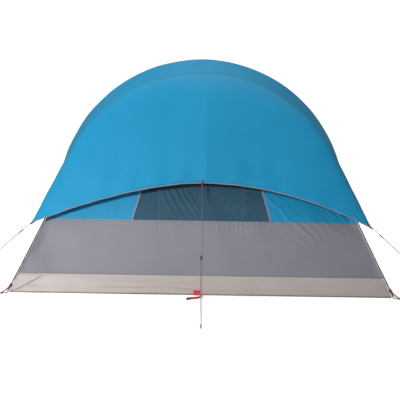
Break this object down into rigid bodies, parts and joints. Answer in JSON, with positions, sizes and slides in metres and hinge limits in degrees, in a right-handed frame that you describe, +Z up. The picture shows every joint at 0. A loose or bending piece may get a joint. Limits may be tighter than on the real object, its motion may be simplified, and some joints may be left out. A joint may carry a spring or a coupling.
{
  "type": "tunnel tent",
  "caption": "Pitched camping tent with arched pole hoops, a leaning rear wall with a netting window, a short fly sheet over the top, guylines with runners and hooked pegs.",
  "frame": {"origin": "middle of the underside of the groundsheet, on the ground", "axes": "+Z up, -Y out through the rear wall with the window, +Y out through the door, +X to the right seen from behind the tent"},
  "size_m": [4.023, 3.7549, 2.163],
  "materials": {
    "fly_cloth": "satin",
    "wall_cloth": "satin",
    "band_cloth": "matte",
    "tub_cloth": "satin",
    "netting": "matte",
    "binding": "matte",
    "pole": "satin",
    "ferrule": "satin",
    "webbing": "matte",
    "cord": "matte",
    "runner": "matte",
    "peg": "satin",
    "zip": "matte"
  },
  "bodies": {
    "tent": {"fly_sheet": "fly_cloth", "rear_wall_upper_panel": "wall_cloth", "front_wall_upper_panel": "wall_cloth", "left_wall_upper_panel": "wall_cloth", "right_wall_upper_panel": "wall_cloth", "rear_wall_lower_band": "band_cloth", "front_wall_lower_band": "band_cloth", "left_wall_lower_band": "band_cloth", "right_wall_lower_band": "band_cloth", "groundsheet_tub": "tub_cloth", "rear_window_netting": "netting", "roof_netting": "netting", "fly_hem_binding": "binding", "main_hoop_crown": "pole", "main_hoop_left_leg": "pole", "main_hoop_right_leg": "pole", "rear_hoop_crown": "pole", "rear_hoop_left_leg": "pole", "rear_hoop_right_leg": "pole", "front_hoop_crown": "pole", "front_hoop_left_leg": "pole", "front_hoop_right_leg": "pole", "main_hoop_left_ferrule": "ferrule", "main_hoop_right_ferrule": "ferrule", "rear_hoop_left_ferrule": "ferrule", "rear_hoop_right_ferrule": "ferrule", "front_hoop_left_ferrule": "ferrule", "front_hoop_right_ferrule": "ferrule", "rear_left_anchor_strap": "webbing", "rear_right_anchor_strap": "webbing", "front_left_anchor_strap": "webbing", "front_right_anchor_strap": "webbing", "left_middle_anchor_strap": "webbing", "right_middle_anchor_strap": "webbing", "rear_centre_ground_loop": "webbing", "rear_centre_fly_tab": "webbing", "guyline_rear_centre": "cord", "guyline_rear_left": "cord", "guyline_rear_right": "cord", "guyline_front_left": "cord", "guyline_front_right": "cord", "door_zip_track": "zip"},
    "runner_rear_centre": {"runner_rear_centre": "runner"},
    "guyline_peg_rear_centre": {"guyline_peg_rear_centre": "peg"},
    "runner_rear_left": {"runner_rear_left": "runner"},
    "guyline_peg_rear_left": {"guyline_peg_rear_left": "peg"},
    "runner_rear_right": {"runner_rear_right": "runner"},
    "guyline_peg_rear_right": {"guyline_peg_rear_right": "peg"},
    "runner_front_left": {"runner_front_left": "runner"},
    "guyline_peg_front_left": {"guyline_peg_front_left": "peg"},
    "runner_front_right": {"runner_front_right": "runner"},
    "guyline_peg_front_right": {"guyline_peg_front_right": "peg"},
    "rear_left_corner_peg": {"rear_left_corner_peg": "peg"},
    "rear_right_corner_peg": {"rear_right_corner_peg": "peg"},
    "front_left_corner_peg": {"front_left_corner_peg": "peg"},
    "front_right_corner_peg": {"front_right_corner_peg": "peg"},
    "door_flap": {"door_flap": "wall_cloth"},
    "door_zip_slider_upper": {"door_zip_slider_upper": "zip"},
    "door_zip_slider_lower": {"door_zip_slider_lower": "zip"}
  },
  "joints": [
    {"name": "door_flap_hinge", "type": "hinge", "parent": "tent", "child": "door_flap", "pos_m": [0, 1.0952, 0.2022], "axis": [-1, 0, 0], "range_deg": [0, 120]},
    {"name": "upper_zip_run", "type": "hinge", "parent": "tent", "child": "door_zip_slider_upper", "pos_m": [0, 0.7763, 0.9216], "axis": [0, -0.9121, -0.4099], "range_deg": [0, 180]},
    {"name": "lower_zip_run", "type": "slide", "parent": "tent", "child": "door_zip_slider_lower", "axis": [0, 0.4099, -0.9121], "range_m": [0, 0.73]},
    {"name": "runner_rear_centre_slide", "type": "slide", "parent": "tent", "child": "runner_rear_centre", "axis": [0, -0.8552, -0.5182], "range_m": [-0.835, 0.629]},
    {"name": "guyline_peg_rear_centre_pull", "type": "slide", "parent": "tent", "child": "guyline_peg_rear_centre", "axis": [0, -0.4226, 0.9063], "range_m": [0, 0.15]},
    {"name": "runner_rear_left_slide", "type": "slide", "parent": "tent", "child": "runner_rear_left", "axis": [-0.669, -0.4067, -0.6221], "range_m": [-0.042, 0.675]},
    {"name": "guyline_peg_rear_left_pull", "type": "slide", "parent": "tent", "child": "guyline_peg_rear_left", "axis": [-0.3611, -0.2195, 0.9063], "range_m": [0, 0.15]},
    {"name": "runner_rear_right_slide", "type": "slide", "parent": "tent", "child": "runner_rear_right", "axis": [0.669, -0.4067, -0.6221], "range_m": [-0.042, 0.675]},
    {"name": "guyline_peg_rear_right_pull", "type": "slide", "parent": "tent", "child": "guyline_peg_rear_right", "axis": [0.3611, -0.2195, 0.9063], "range_m": [0, 0.15]},
    {"name": "runner_front_left_slide", "type": "slide", "parent": "tent", "child": "runner_front_left", "axis": [-0.4717, 0.5774, -0.6664], "range_m": [-0.037, 0.625]},
    {"name": "guyline_peg_front_left_pull", "type": "slide", "parent": "tent", "child": "guyline_peg_front_left", "axis": [-0.2674, 0.3273, 0.9063], "range_m": [0, 0.15]},
    {"name": "runner_front_right_slide", "type": "slide", "parent": "tent", "child": "runner_front_right", "axis": [0.4717, 0.5774, -0.6664], "range_m": [-0.037, 0.625]},
    {"name": "guyline_peg_front_right_pull", "type": "slide", "parent": "tent", "child": "guyline_peg_front_right", "axis": [0.2674, 0.3273, 0.9063], "range_m": [0, 0.15]},
    {"name": "rear_left_corner_peg_pull", "type": "slide", "parent": "tent", "child": "rear_left_corner_peg", "axis": [0, 0, 1], "range_m": [0, 0.16]},
    {"name": "rear_right_corner_peg_pull", "type": "slide", "parent": "tent", "child": "rear_right_corner_peg", "axis": [0, 0, 1], "range_m": [0, 0.16]},
    {"name": "front_left_corner_peg_pull", "type": "slide", "parent": "tent", "child": "front_left_corner_peg", "axis": [0, 0, 1], "range_m": [0, 0.16]},
    {"name": "front_right_corner_peg_pull", "type": "slide", "parent": "tent", "child": "front_right_corner_peg", "axis": [0, 0, 1], "range_m": [0, 0.16]}
  ]
}
